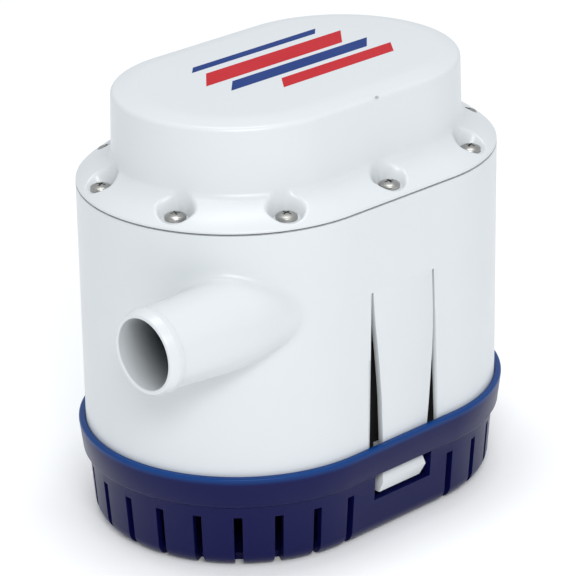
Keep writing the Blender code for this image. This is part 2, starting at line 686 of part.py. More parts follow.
def make_rotor():
    profile = [(1.9, 32.6), (SHAFT_R, 33.4), (SHAFT_R, CAP_Z1 + 0.6), (1.9, CAP_Z1 + 1.1)]
    turned("motor_shaft", profile, "stainless", steps=20)
    half_tooth = [(11.0, 0.30), (18.5, 0.22), (19.5, 0.42), (CORE_R - 0.3, 0.42), (CORE_R, 0.20)]
    tooth = [(radius, -part) for radius, part in half_tooth] + list(reversed(half_tooth))
    pitch = 2 * math.pi / CORE_SLOTS
    outline = []
    for i in range(CORE_SLOTS):
        for radius, part in tooth:
            angle = (i + part) * pitch
            outline.append((radius * math.cos(angle), radius * math.sin(angle)))
    core = prism("armature_core", outline, CORE_Z0, CORE_Z1, "lamination")
    cut(core, rod("core_bore", SHAFT_R + GAP, CORE_Z0 - PAST, CORE_Z1 + PAST, steps=20))
    for name, low, high in (("winding_lower", CORE_Z0 - 6.0, CORE_Z0 - GAP),
                            ("winding_upper", CORE_Z1 + GAP, CORE_Z1 + 6.5)):
        middle = (low + high) / 2
        turned(name, [(9.0, low + 1), (10.5, low), (17.5, low), (20.5, middle), (17.5, high), (10.5, high),
                      (9.0, high - 1)], "copper", steps=28, loop=True)
    tube("commutator", COMMUTATOR_R, SHAFT_R + GAP, BRUSH_Z - COMMUTATOR_HALF_L, BRUSH_Z + COMMUTATOR_HALF_L,
         "copper", steps=24)


# ------------------------------------------------------------------ float switch
def make_float_switch():
    at = (FLOAT_X, 0, 0)
    flange = CHAMBER_TOP_Z + GAP
    stem_low = DECK_Z0 + 2.0
    turned("float_stem", [(STEM_R, stem_low), (STEM_R, flange), (8.0, flange), (8.0, flange + 1.6),
                          (3.0, flange + 1.6), (3.0, stem_low + 2)], "white_abs", centre=at, steps=20)
    tube("float_stop", 7.5, STEM_R + GAP, FLOAT_Z0 - 2.4, FLOAT_Z0 - 0.5, "stainless", centre=at, steps=20)
    bore = STEM_R + 0.5
    turned("float_body", [(bore, FLOAT_Z0), (FLOAT_R - 1.5, FLOAT_Z0), (FLOAT_R, FLOAT_Z0 + 1.5),
                          (FLOAT_R, FLOAT_Z1 - 1.5), (FLOAT_R - 1.5, FLOAT_Z1), (9.5, FLOAT_Z1),
                          (9.5, FLOAT_Z1 - 4.3), (bore, FLOAT_Z1 - 4.3)],
           "foam", centre=at, steps=28, loop=True)
    tube("float_magnet", 9.2, bore + 0.2, FLOAT_Z1 - 4.0, FLOAT_Z1, "ferrite", centre=at, steps=24)
    reed_low = FLOAT_Z1 + 2.0
    turned("reed_switch", [(0.5, reed_low), (1.5, reed_low + 1), (1.5, reed_low + 15), (0.5, reed_low + 16)],
           "glass", centre=at, steps=12)
    make_board()


def make_board():
    """Circuit board on two spacers over the float's chamber, with the relay that feeds the motor."""
    top = BOARD_Z + BOARD_T
    board = box("switch_board", (FLOAT_X - 19.0, -14.0, BOARD_Z), (FLOAT_X + 15.5, 14.0, top), "board_green")
    hole_r = SMALL_SCREW_R + GAP
    head = top + GAP
    screw = [(SMALL_SCREW_R, CHAMBER_TOP_Z - 1.2), (SMALL_SCREW_R, head), (2.5, head), (2.5, head + 1.2),
             (1.4, head + 1.7)]
    holes = []
    for label, x in BOARD_SCREWS.items():
        place = (x, 0, 0)
        holes.append(rod("hole", hole_r, BOARD_Z - PAST, top + PAST, centre=place, steps=12))
        tube("board_spacer_" + label, 3.0, hole_r, CHAMBER_TOP_Z + GAP, BOARD_Z - GAP, "zinc_steel",
             centre=place, steps=16)
        turned("board_screw_" + label, screw, "stainless", centre=place, steps=12)
    cut(board, merged("board_cut", holes))
    box("relay", (FLOAT_X - 8.0, -11.0, top + GAP), (FLOAT_X + 8.0, 4.0, top + 12.4), "ferrite")


def lead_route(y, depth):
    """Lead from the board, up and over to the motor's end cap, as one smooth arch."""
    start = (FLOAT_X - 12.0, y, BOARD_Z + BOARD_T + GAP)
    end = (24.0, y, CAP_Z1 + 0.4)
    crest = 151.0
    steps = 16
    points = []
    for i in range(steps + 1):
        t = i / steps
        lift = (1 - t) ** 3
        away = 3 * (1 - t) ** 2 * t
        near = 3 * (1 - t) * t ** 2
        land = t ** 3
        points.append((lift * start[0] + away * start[0] + near * end[0] + land * end[0],
                       lift * start[1] + (away + near) * (y + depth) + land * end[1],
                       lift * start[2] + (away + near) * crest + land * end[2]))
    return points


def make_leads():
    wire("motor_lead_red", lead_route(-11.0, -2.0), 0.9, "red_pvc")
    wire("motor_lead_black", lead_route(11.0, 2.0), 0.9, "black_rubber")


# ------------------------------------------------------------------ cable gland
def make_gland():
    at = (GLAND_X, 0, GLAND_Z)
    face = END_R + GAP
    inside = END_R - WALL - 2
    profile = [(GLAND_BODY_R, inside), (GLAND_BODY_R, face), (8.0, face), (8.0, face + 1.4),
               (6.6, face + 1.8), (6.6, face + 4.4), (5.6, face + 5.2), (GLAND_BORE_R, face + 5.2),
               (GLAND_BORE_R, inside)]
    turned("cable_gland", profile, "navy_abs", centre=at, axis="Y", steps=24, loop=True)
    tube("cable_seal", GLAND_BORE_R - GAP, 2.0, inside + 1, face + 5.6, "black_rubber", centre=at,
         axis="Y", steps=20)


def build():
    clear_scene()
    make_strainer()
    make_housing()
    make_latch_arms()
    make_cover()
    make_cover_screws()
    make_water_end()
    make_motor_case()
    make_rotor()
    make_float_switch()
    make_leads()
    make_gland()


build()
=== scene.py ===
"""Looks of the submersible bilge pump: moulded shells, latches, screws, plain printed bars and materials.

Sizes are in millimetres unless a name says otherwise; mm() turns them into metres.
"""
import json
import math

import bpy
import numpy as np
from mathutils import Matrix, Vector


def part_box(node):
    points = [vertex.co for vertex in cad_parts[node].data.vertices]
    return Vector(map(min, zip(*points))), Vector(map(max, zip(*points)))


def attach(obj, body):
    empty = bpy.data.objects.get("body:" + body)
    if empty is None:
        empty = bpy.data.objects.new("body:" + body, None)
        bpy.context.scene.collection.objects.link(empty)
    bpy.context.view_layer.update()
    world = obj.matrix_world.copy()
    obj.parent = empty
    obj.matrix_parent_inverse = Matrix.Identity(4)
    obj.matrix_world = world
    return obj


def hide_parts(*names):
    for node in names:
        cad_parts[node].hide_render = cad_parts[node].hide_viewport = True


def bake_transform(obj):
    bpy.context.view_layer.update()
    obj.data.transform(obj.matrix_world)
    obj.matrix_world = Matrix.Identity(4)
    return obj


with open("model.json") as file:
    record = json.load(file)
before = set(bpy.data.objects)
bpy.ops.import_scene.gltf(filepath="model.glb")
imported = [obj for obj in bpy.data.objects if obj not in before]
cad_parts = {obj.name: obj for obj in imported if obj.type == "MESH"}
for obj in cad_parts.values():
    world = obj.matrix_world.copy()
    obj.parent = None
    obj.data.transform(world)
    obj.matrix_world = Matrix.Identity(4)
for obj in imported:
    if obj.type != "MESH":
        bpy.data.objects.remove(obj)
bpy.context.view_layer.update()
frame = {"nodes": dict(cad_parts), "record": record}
NODES = frame["nodes"]

# ---- the oval body, read from the frame ----
HOUSING_LOW, HOUSING_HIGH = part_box("housing")
COVER_LOW, COVER_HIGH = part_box("cover")
ARM_LOW, ARM_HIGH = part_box("latch_arm_front")
END_R = COVER_HIGH[1] * 1000          # radius of the round ends
END_X = COVER_HIGH[0] * 1000 - END_R  # their centres
SEAM_Z = HOUSING_HIGH[2] * 1000
COVER_Z = COVER_LOW[2] * 1000
TOP_Z = COVER_HIGH[2] * 1000
LEDGE_Z = HOUSING_LOW[2] * 1000
COLLAR_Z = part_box("strainer_base")[1][2] * 1000
MOUTH_X = HOUSING_LOW[0] * 1000
SLIT_TOP_Z = ARM_HIGH[2] * 1000 + 0.3
ARM_TOP_X = ARM_HIGH[0] * 1000        # half width of the latch arm at its root
CATCH_LOW_Z = ARM_LOW[2] * 1000

# ---- design sizes that a box can't give ----
NOZZLE_Y, NOZZLE_Z = -40.0, 96.7
BARREL_R, BORE_R, LIP_R, LIP_L = 14.3, 12.6, 15.0, 5.3
SKIN = 0.05                           # the smooth skin stands this far over the solid below it
BORE_END_X = -62.0                    # the smooth bore runs in this far and meets the solid's own
LINER_IN = 0.08                       # the smooth bore stands this far inside the solid's own
APRON_Z = 136.8                       # where the flange's slope meets the dome
DOME_IN = 12.7
DOME_LEAN = 0.55                      # how far the dome's side leans in over its height
DOME_SIDE = 20.4
DOME_CORNER_R = 1.9
HOLLOW_IN = 14.6
SCREW_IN = 6.6
SCREW_DEG = (-66.6, -22.6, 22.6, 66.6)
POCKET_FLOOR_Z = 129.4
POCKET_FLOOR_R = 5.0
COLLAR_LOW_Z = 26.0
SLOT_HALF = 1.55                      # half width of the strainer's slots
SLOT_TOP_Z = 20.6
# edges of the latch arm as height and place in X: it leans a little, and its sides are bowed
ARM_LEFT_EDGE = [(37, -10.2), (55, -10.8), (65, -11.6), (75, -12.6), (84, -13.7),
                 (SLIT_TOP_Z, -ARM_TOP_X)]
ARM_RIGHT_EDGE = [(37, 12.1), (45, 13.0), (55, 13.9), (65, 14.7), (74, 15.1), (84, 15.0),
                  (SLIT_TOP_Z, ARM_TOP_X)]
ARM_T = 2.2
TONGUE_LOW_Z = 32.5
STEM_X = 9.0                          # half width of the stem and neck behind the collar
CATCH_IN = 6.15                       # depth of the back of the stem and catch behind the wall's face
CATCH_HIGH_Z = 25.0
RECESS_X, RECESS_Y, RECESS_TOP_Z = 21.3, 44.8, 99.3    # the space behind each arm
STRAINER_WINDOW_X = (-13.3, 15.2)
STRAINER_WINDOW_Z0, STRAINER_WINDOW_Z1 = 14.6, 25.6
WINDOW_TOP_X = (-15.5, 15.5)          # the tapered opening in the wall, at its top and its foot
WINDOW_LOW_X = (-17.4, 18.4)


def mm(*values):
    scaled = tuple(value * 0.001 for value in values)
    return scaled[0] if len(scaled) == 1 else scaled


# ------------------------------------------------------------------ camera, light, floor
def aim(thing, place, target, roll=0.0):
    back = (Vector(place) - Vector(target)).normalized()
    right = Vector((0, 0, 1)).cross(back).normalized()
    up = back.cross(right)
    turn = Matrix((right, up, back)).transposed().to_4x4()
    thing.matrix_world = Matrix.Translation(Vector(place)) @ turn @ Matrix.Rotation(roll, 4, 'Z')


def make_camera():
    data = bpy.data.cameras.new("camera")
    data.lens = 195.4
    data.sensor_width = 36.0
    data.clip_end = 20.0
    camera = bpy.data.objects.new("camera", data)
    bpy.context.scene.collection.objects.link(camera)
    place = Vector((-0.7173, -0.7587, 0.5224))
    back = Vector((-0.6310, -0.6689, 0.3928)).normalized()
    aim(camera, place, place - back, roll=math.radians(-0.95))
    bpy.context.scene.camera = camera


def area_light(name, place, target, size, power, size_y=None):
    data = bpy.data.lights.new(name, 'AREA')
    data.shape = 'RECTANGLE'
    data.size = size
    if size_y:
        data.size_y = size_y
    data.energy = power
    lamp = bpy.data.objects.new(name, data)
    bpy.context.scene.collection.objects.link(lamp)
    aim(lamp, place, target)


def make_light():
    """Three soft boxes above and in front, in a pale room, shown without a film curve."""
    bpy.context.scene.view_settings.view_transform = 'Standard'
    world = bpy.data.worlds.new("studio")
    world.use_nodes = True
    background = world.node_tree.nodes["Background"]
    background.inputs["Color"].default_value = (0.93, 0.965, 1.0, 1.0)
    background.inputs["Strength"].default_value = 0.75
    bpy.context.scene.world = world
    centre = (0.0, 0.0, 0.09)
    area_light("key", (-0.75, -0.95, 0.95), centre, 0.7, 7.7)
    area_light("right_fill", (-0.45, -1.15, 1.25), centre, 1.1, 3.2)
    area_light("top_strip", (0.05, 0.1, 1.5), centre, 0.9, 5.9, size_y=0.4)


def make_floor():
    bpy.ops.mesh.primitive_plane_add(size=8.0, location=(0, 0, mm(-0.02)))
    floor = bpy.context.object
    floor.name = "floor"
    paint = bpy.data.materials.new("floor_paper")
    paint.use_nodes = True
    shader = paint.node_tree.nodes["Principled BSDF"]
    shader.inputs["Base Color"].default_value = (0.96, 0.96, 0.96, 1.0)
    shader.inputs["Roughness"].default_value = 0.9
    shader.inputs["Emission Color"].default_value = (1.0, 1.0, 1.0, 1.0)
    shader.inputs["Emission Strength"].default_value = 0.03
    floor.data.materials.append(paint)


# ------------------------------------------------------------------ materials
MOULDING_BLOTCH = 38.0                # mm over which a moulding's colour and shine drift
METAL_BLOTCH = 2.5


def linear(code):
    """sRGB hex to linear colour."""
    parts = [int(code[i:i + 2], 16) / 255 for i in (0, 2, 4)]
    return tuple(c / 12.92 if c <= 0.04045 else ((c + 0.055) / 1.055) ** 2.4 for c in parts) + (1.0,)


def node(tree, kind, links=None, **settings):
    """Add a node; settings name its attributes or inputs, links join inputs to other outputs."""
    made = tree.nodes.new(kind)
    for key, value in settings.items():
        if hasattr(made, key):
            setattr(made, key, value)
        else:
            made.inputs[key.replace("_", " ")].default_value = value
    for target, source in (links or {}).items():
        tree.links.new(source, made.inputs[target])
    return made


def base_material(name, colour, roughness, metallic=0.0, ior=1.5):
    made = bpy.data.materials.new(name)
    made.use_nodes = True
    shader = made.node_tree.nodes["Principled BSDF"]
    shader.inputs["Base Color"].default_value = linear(colour)
    shader.inputs["Roughness"].default_value = roughness
    shader.inputs["Metallic"].default_value = metallic
    if not metallic:
        shader.inputs["IOR"].default_value = ior
    return made, made.node_tree, shader


def add_noise_bump(tree, shader, place, cell_mm, height_mm):
    """Bump from noise whose cells are cell_mm across."""
    noise = node(tree, "ShaderNodeTexNoise", {"Vector": place}, Scale=1000.0 / cell_mm, Detail=2.0)
    bump = node(tree, "ShaderNodeBump", {"Height": noise.outputs["Fac"]}, Strength=1.0,
                Distance=mm(height_mm))
    tree.links.new(bump.outputs["Normal"], shader.inputs["Normal"])


def between(tree, shader, factor, first, second):
    """Colour the shader between two sRGB colours."""
    tint = node(tree, "ShaderNodeMix", {"Factor": factor}, data_type='RGBA')
    tint.inputs[6].default_value = linear(first)
    tint.inputs[7].default_value = linear(second)
    tree.links.new(tint.outputs[2], shader.inputs["Base Color"])


def uneven_shine(tree, shader, place, cell_mm, low, high):
    """Roughness that drifts from low to high over cell_mm; gives back the noise that moves it."""
    noise = node(tree, "ShaderNodeTexNoise", {"Vector": place}, Scale=1000.0 / cell_mm, Detail=3.0)
    spread = node(tree, "ShaderNodeMapRange", {"Value": noise.outputs["Fac"]}, From_Min=0.3, From_Max=0.7,
                  To_Min=low, To_Max=high)
    tree.links.new(spread.outputs["Result"], shader.inputs["Roughness"])
    return noise.outputs["Fac"]


def blotched(tree, shader, place, cell_mm, light, dark, low, high):
    """Colour and roughness that drift a little over cell_mm."""
    drift = uneven_shine(tree, shader, place, cell_mm, low, high)
    between(tree, shader, drift, light, dark)


def moulded(name, light, dark, low, high, cell_mm, height_mm, ior=1.54):
    """A moulded plastic or rubber: two near colours, a roughness range and a fine surface bump."""
    made, tree, shader = base_material(name, light, low, ior=ior)
    place = node(tree, "ShaderNodeTexCoord").outputs["Object"]
    blotched(tree, shader, place, MOULDING_BLOTCH, light, dark, low, high)
    add_noise_bump(tree, shader, place, cell_mm, height_mm)
    return made


def metal(name, light, dark, low, high, grain_mm, height_mm):
    """A metal: two near colours, a roughness range and the grain of its surface."""
    made, tree, shader = base_material(name, light, low, metallic=1.0)
    place = node(tree, "ShaderNodeTexCoord").outputs["Object"]
    blotched(tree, shader, place, METAL_BLOTCH, light, dark, low, high)
    add_noise_bump(tree, shader, place, grain_mm, height_mm)
    return made


def graded(tree, shader, place, axis, start, end, near, far):
    """Colour that runs from near to far between two places, in mm, along an axis of the object."""
    parts = node(tree, "ShaderNodeSeparateXYZ", {"Vector": place})
    along = node(tree, "ShaderNodeMapRange", {"Value": parts.outputs[axis]},
                 From_Min=mm(start), From_Max=mm(end))
    between(tree, shader, along.outputs["Result"], near, far)


def tray_plastic_painted_highlight():
    """Pigmented ABS: dark navy, with a painted highlight of brighter blue along the collar's top edge."""
    made, tree, shader = base_material("navy_abs_painted_collar_highlight", "0A0E48", 0.32, ior=1.26)
    place = node(tree, "ShaderNodeTexCoord").outputs["Object"]
    uneven_shine(tree, shader, place, MOULDING_BLOTCH, 0.29, 0.38)
    # painted highlight: the colour runs from dark navy to a lighter blue over the collar's top few
    # millimetres
    graded(tree, shader, place, "Z", COLLAR_Z - 2.6, COLLAR_Z - 0.2, "0A0D42", "0A3A78")
    add_noise_bump(tree, shader, place, 1.6, 0.010)
    return made


def bore_plastic():
    """White ABS at the mouth with painted shade that darkens it with depth, standing in for the bore's
    deep shade.
    """
    made, tree, shader = base_material("bore_abs_painted_shade", "C9CDCF", 0.4)
    place = node(tree, "ShaderNodeTexCoord").outputs["Object"]
    # painted shade: from 2 mm to 22 mm inside the mouth the colour runs from white to dark grey
    graded(tree, shader, place, "X", MOUTH_X + 2.0, MOUTH_X + 22.0, "C9CDCF", "454A50")
    add_noise_bump(tree, shader, place, 1.5, 0.012)
    return made


def make_materials():
    """One finish per kind of material that the pump is made of; the recess and bore finishes are painted
    shade, and the tray's carries a painted highlight.
    """
    finishes = {
        # injection-moulded ABS with a satin-gloss skin: soft highlights and a faint orange peel
        "white_abs": moulded("moulded_white_abs", "CED1D3", "C9CDCF", 0.29, 0.36, 2.2, 0.008),
        "navy_abs": moulded("moulded_navy_abs", "0A0E48", "0A0B3C", 0.29, 0.38, 1.6, 0.010, ior=1.26),
        "navy_tray": tray_plastic_painted_highlight(),
        # painted shade: a dark grey inside the latch's recess, which stands in for its deep shade
        "recess": moulded("recess_painted_shade_abs", "4C4A4B", "403E40", 0.6, 0.75, 1.2, 0.02, ior=1.4),
        "bore": bore_plastic(),
        # the rough scar where the plastic was snapped off
        "gate": moulded("torn_abs", "A4A7A9", "9C9FA1", 0.5, 0.6, 0.5, 0.02),
        # passivated stainless, cold-headed and tumbled: bright with fine scuffs
        "stainless": metal("tumbled_stainless", "B9B8B4", "8F8E8B", 0.28, 0.40, 0.35, 0.006),
        "black_rubber": moulded("moulded_nitrile_rubber", "1C1C1D", "262626", 0.62, 0.78, 0.8, 0.02,
                                ior=1.52),
        # zinc plate on steel: dull silver, slightly blotched
        "zinc_steel": metal("zinc_plated_steel", "B4B6BA", "9A9CA0", 0.30, 0.45, 0.6, 0.008),
        "bronze": metal("sintered_bronze", "A57B42", "86602F", 0.42, 0.55, 0.25, 0.02),
        "copper": metal("enamelled_copper", "B8683C", "9A4F29", 0.28, 0.40, 0.5, 0.01),
        "lamination": metal("stacked_silicon_steel", "6E6F73", "55565A", 0.45, 0.6, 0.5, 0.02),
        "ferrite": moulded("sintered_ferrite", "3B3B3F", "303034", 0.5, 0.65, 0.7, 0.015, ior=1.6),
        "carbon": moulded("pressed_carbon", "2A2A2C", "202022", 0.55, 0.7, 0.3, 0.02, ior=1.6),
        "foam": moulded("closed_cell_foam", "29292C", "35353A", 0.8, 0.95, 0.6, 0.08, ior=1.4),
        "glass": moulded("soda_glass_capsule", "B9C8B9", "C6D2C4", 0.05, 0.1, 3.0, 0.001),
        "board_green": moulded("solder_mask_on_epoxy_glass", "1B5A30", "174E2A", 0.3, 0.42, 0.9, 0.01),
        "red_pvc": moulded("extruded_red_pvc", "A81C1C", "961717", 0.35, 0.45, 1.5, 0.01),
        "print_red": moulded("pad_printed_red_ink", "B81420", "AE121E", 0.5, 0.6, 1.2, 0.004, ior=1.25),
        "print_blue": moulded("pad_printed_blue_ink", "0A3278", "082C6C", 0.5, 0.6, 1.2, 0.004, ior=1.25),
    }
    return finishes


# ------------------------------------------------------------------ modelling tools
def deselect_all():
    if bpy.context.object and bpy.context.object.mode != 'OBJECT':
        bpy.ops.object.mode_set(mode='OBJECT')
    bpy.ops.object.select_all(action='DESELECT')


def pick(piece):
    deselect_all()
    piece.select_set(True)
    bpy.context.view_layer.objects.active = piece


def edit(piece, how='VERT'):
    pick(piece)
    bpy.ops.object.mode_set(mode='EDIT')
    bpy.ops.mesh.select_mode(type=how)


def settle(piece):
    """Leave edit mode and put the object's place into its mesh."""
    deselect_all()
    piece.data.transform(piece.matrix_world)
    piece.matrix_world = Matrix.Identity(4)
    piece.data.update()


def apply_all(piece):
    pick(piece)
    for modifier in list(piece.modifiers):
        bpy.ops.object.modifier_apply(modifier=modifier.name)
    deselect_all()


def spun(name, profile, axis="Z", centre=(0, 0, 0), steps=64, closed=False):
    """Draw a profile of (radius, height) points by extruding a vertex, then spin it about the axis."""
    deselect_all()
    bpy.ops.mesh.primitive_plane_add(size=mm(1))
    piece = bpy.context.object
    piece.name = name
    edit(piece)
    bpy.ops.mesh.select_all(action='SELECT')
    bpy.ops.mesh.merge(type='CENTER')
    first = profile[0]
    bpy.ops.transform.translate(value=mm(first[0], 0, first[1]))
    for (r0, h0), (r1, h1) in zip(profile, profile[1:]):
        bpy.ops.mesh.extrude_vertices_move(TRANSFORM_OT_translate={"value": mm(r1 - r0, 0, h1 - h0)})
    bpy.ops.mesh.select_all(action='SELECT')
    if closed:
        bpy.ops.object.mode_set(mode='OBJECT')
        ends = [len(piece.data.vertices) - 1, 0]
        for vertex in piece.data.vertices:
            vertex.select = vertex.index in ends
        bpy.ops.object.mode_set(mode='EDIT')
        bpy.ops.mesh.edge_face_add()
        bpy.ops.mesh.select_all(action='SELECT')
    bpy.ops.mesh.spin(steps=steps, angle=2 * math.pi, center=(0, 0, 0), axis=(0, 0, 1))
    bpy.ops.mesh.select_all(action='SELECT')
    bpy.ops.mesh.remove_doubles(threshold=mm(0.002))
    if not closed:
        bpy.ops.mesh.select_all(action='DESELECT')
        bpy.ops.mesh.select_non_manifold()
        bpy.ops.mesh.fill_holes(sides=0)
    bpy.ops.mesh.select_all(action='SELECT')
    bpy.ops.mesh.normals_make_consistent(inside=False)
    bpy.ops.object.mode_set(mode='OBJECT')
    turn = Matrix.Identity(4)
    if axis == "X":
        turn = Matrix.Rotation(math.radians(90), 4, 'Y')
    elif axis == "Y":
        turn = Matrix.Rotation(math.radians(-90), 4, 'X')
    piece.data.transform(Matrix.Translation(Vector(mm(*centre))) @ turn)
    piece.data.update()
    return piece


def pulled_apart(piece, cuts=0):
    """Pull the two halves of a round shape apart along X, which makes its plan an oval.

    The cuts divide the straight sides.
    """
    for vertex in piece.data.vertices:
        vertex.co.x += mm(END_X) if vertex.co.x > 0 else -mm(END_X)
    if cuts:
        edit(piece)
        for i in range(cuts):
            at = -END_X + 2 * END_X * (i + 0.5) / cuts
            bpy.ops.mesh.select_all(action='SELECT')
            bpy.ops.mesh.bisect(plane_co=mm(at, 0, 0), plane_no=(1, 0, 0))
        deselect_all()
    return piece


def oval_piece(name, profile, steps, cuts=0):
    """An oval shape from (inset, height) points, taken in from the body's outline."""
    turned = [(END_R - inset, height) for inset, height in profile]
    piece = spun(name, turned, steps=steps)
    half = math.pi / steps
    piece.data.transform(Matrix.Rotation(half, 4, 'Z'))
    return pulled_apart(piece, cuts)


def block(name, low, high):
    """A cube primitive stretched between two corners."""
    deselect_all()
    centre = [(a + b) / 2 for a, b in zip(low, high)]
    size = [abs(b - a) for a, b in zip(low, high)]
    bpy.ops.mesh.primitive_cube_add(size=1.0, location=mm(*centre))
    piece = bpy.context.object
    piece.name = name
    piece.scale = mm(*size)
    bpy.context.view_layer.update()
    settle(piece)
    return piece


def arc(centre, radius, start_deg, end_deg, count):
    """Points of a rounded corner in a profile."""
    points = []
    for i in range(count + 1):
        angle = math.radians(start_deg + (end_deg - start_deg) * i / count)
        points.append((centre[0] + radius * math.cos(angle), centre[1] + radius * math.sin(angle)))
    return points


def boolean(piece, other, operation='DIFFERENCE'):
    modifier = piece.modifiers.new("boolean", 'BOOLEAN')
    modifier.operation = operation
    modifier.solver = 'EXACT'
    modifier.object = other
    apply_all(piece)
    bpy.data.objects.remove(other)


def joined(pieces):
    deselect_all()
    for piece in pieces:
        piece.select_set(True)
    bpy.context.view_layer.objects.active = pieces[0]
    bpy.ops.object.join()
    return bpy.context.object


def copy_of(name):
    """A copy of a CAD node with its flat faces merged, to build on."""
    source = NODES[name]
    piece = bpy.data.objects.new(name + "_copy", source.data.copy())
    bpy.context.scene.collection.objects.link(piece)
    piece.data.materials.clear()
    edit(piece)
    bpy.ops.mesh.select_all(action='SELECT')
    bpy.ops.mesh.remove_doubles(threshold=mm(0.001))
    bpy.ops.mesh.dissolve_limited(angle_limit=math.radians(0.2))
    deselect_all()
    return piece


def smooth(piece, degrees=38):
    pick(piece)
    bpy.ops.object.shade_smooth_by_angle(angle=math.radians(degrees))
    deselect_all()


def finished(piece, name, finish, body=None, nodes=(), angle=38):
    """Name, shade and paint a finished piece, and say what it rides on and replaces."""
    piece.name = name
    piece.data.name = name
    smooth(piece, angle)
    piece.data.materials.clear()
    piece.data.materials.append(finish)
    if body:
        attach(piece, body)
    if nodes:
        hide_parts(*nodes)
    return piece


def screw_places():
    places = [(0.0, END_R - SCREW_IN), (0.0, SCREW_IN - END_R)]
    for side in (1, -1):
        for degrees in SCREW_DEG:
            angle = math.radians(degrees)
            radius = END_R - SCREW_IN
            places.append((side * (END_X + radius * math.cos(angle)), side * radius * math.sin(angle)))
    return places


# ------------------------------------------------------------------ housing
def blended_distance(points):
    """Signed distance, in mm, to the oval wall and the nozzle with a fillet between them.

    The nozzle widens and drops a little towards the body, then narrows to a nose inside the wall.
    """
    x, y, z = points.T
    wall = np.hypot(np.maximum(np.abs(x) - END_X, 0.0), y) - END_R - SKIN
    swell = np.interp(x, [-100.0, -88.0, -76.0, -66.0, -58.0, -50.0, -44.0, -30.0],
                      [0.0, 0.5, 1.1, 1.3, 0.7, -0.2, -0.8, -2.0])
    drop = np.interp(x, [-98.0, -72.0], [0.0, 0.9])
    barrel = np.hypot(y - NOZZLE_Y, z - NOZZLE_Z + drop) - (BARREL_R + SKIN + swell)
    tail = np.maximum(x + 32.0, 0.0)
    barrel = np.hypot(np.maximum(barrel, 0.0), tail) + np.minimum(barrel, 0.0)
    reach = np.interp(x, [-84.0, -70.0, -56.0, -46.0], [6.0, 4.5, 2.2, 1.0])
    part = np.clip(0.5 + 0.5 * (barrel - wall) / reach, 0.0, 1.0)
    return barrel * (1 - part) + wall * part - reach * part * (1 - part)


def drawn_to(piece, distance, rounds=6):
    """Move every point of a mesh along the slope of a distance field until it lies on it."""
    count = len(piece.data.vertices)
    flat = np.empty(count * 3)
    piece.data.vertices.foreach_get("co", flat)
    points = flat.reshape(-1, 3) * 1000.0
    step = 0.01
    for _ in range(rounds):
        here = distance(points)
        slope = np.empty_like(points)
        for axis in range(3):
            ahead = points.copy()
            ahead[:, axis] += step
            slope[:, axis] = (distance(ahead) - here) / step
        size = np.maximum((slope ** 2).sum(axis=1), 0.2)
        points -= slope * np.clip(here / size, -1.5, 1.5)[:, None]
    piece.data.vertices.foreach_set("co", (points * 0.001).ravel())
    piece.data.update()


def nozzle_lip():
    """Tapered lip that holds the hose, with the bore's liner."""
    front = MOUTH_X - 0.05
    back = MOUTH_X + LIP_L
    liner = BORE_R - LINER_IN
    profile = [(liner, BORE_END_X), (liner, front + 0.5)]
    profile += arc((liner + 0.5, front + 0.5), 0.5, 180, 270, 4)
    profile += arc((LIP_R - 1.55, front + 0.7), 0.7, 270, 345, 4)
    profile += arc((LIP_R - 0.75, MOUTH_X + 3.2), 0.8, 345, 360, 2)
    profile += arc((LIP_R - 0.1, back - 0.1), 0.15, 0, 90, 2)
    profile += [(BARREL_R + 0.1, back + 0.1), (BARREL_R - 0.3, back + 0.3), (BARREL_R - 0.3, BORE_END_X)]
    return spun("nozzle_lip", profile, axis="X", centre=(0, NOZZLE_Y, NOZZLE_Z), steps=96, closed=True)


def nozzle_rod(radius, start, end):
    """A plain round bar on the nozzle's axis."""
    return spun("nozzle_rod", [(radius, start), (radius, end)], axis="X",
                centre=(0, NOZZLE_Y, NOZZLE_Z), steps=48)


def outer_skin(low, high):
    """The fine outer wall with the nozzle faired in, open inside, with its openings cut."""
    body = oval_piece("body_form", [(0.0, low - 3), (0.0, high + 3)], steps=96)
    boolean(body, nozzle_rod(BARREL_R, MOUTH_X + LIP_L - 3, BORE_END_X + 2), 'UNION')
    remesh = body.modifiers.new("remesh", 'REMESH')
    remesh.mode = 'VOXEL'
    remesh.voxel_size = mm(1.7)
    apply_all(body)
    drawn_to(body, blended_distance)
    edit(body)
    for co, no in ((mm(0, 0, low), (0, 0, -1)), (mm(0, 0, high), (0, 0, 1)),
                   (mm(MOUTH_X + LIP_L - 0.1, 0, 0), (-1, 0, 0))):
        bpy.ops.mesh.select_all(action='SELECT')
        bpy.ops.mesh.bisect(plane_co=co, plane_no=no, clear_outer=True, use_fill=True)
    deselect_all()
    hollow = oval_piece("hollow", [(1.2, low - 5), (1.2, high + 5)], steps=96)
    boolean(body, hollow)
    boolean(body, nozzle_rod(BORE_R + 0.4, MOUTH_X - 5, BORE_END_X + 2))
    for side in (-1, 1):
        boolean(body, latch_opening(side))
    gland_low, gland_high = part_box("cable_gland")
    gland = spun("gland_form", [(6.3, 40.0), (6.3, 70.0)], axis="Y", steps=32,
                 centre=((gland_low[0] + gland_high[0]) * 500, 0, (gland_low[2] + gland_high[2]) * 500))
    boolean(body, gland)
    boolean(body, nozzle_lip(), 'UNION')
    return body


def inner_works(high):
    """The solid's inside, trimmed where the fine outer wall, bore and arms take its place."""
    inside = copy_of("housing")
    boolean(inside, oval_piece("seam_trim", [(-3.0, high - 0.05), (-3.0, high + 5)], steps=96))
    for side in (-1, 1):
        relief = block("relief", (0.4 - RECESS_X, side * (END_R - 1.9), LEDGE_Z - 2),
                       (RECESS_X - 0.4, side * (END_R - 3.1), RECESS_TOP_Z - 0.4))
        boolean(inside, relief)
    boolean(inside, nozzle_rod(BORE_R + 0.3, MOUTH_X - 5, BORE_END_X - 1))
    boolean(inside, block("mouth_clearance", (MOUTH_X - 5, NOZZLE_Y - 20, NOZZLE_Z - 20),
                          (-83.5, NOZZLE_Y + 20, NOZZLE_Z + 20)))
    return inside


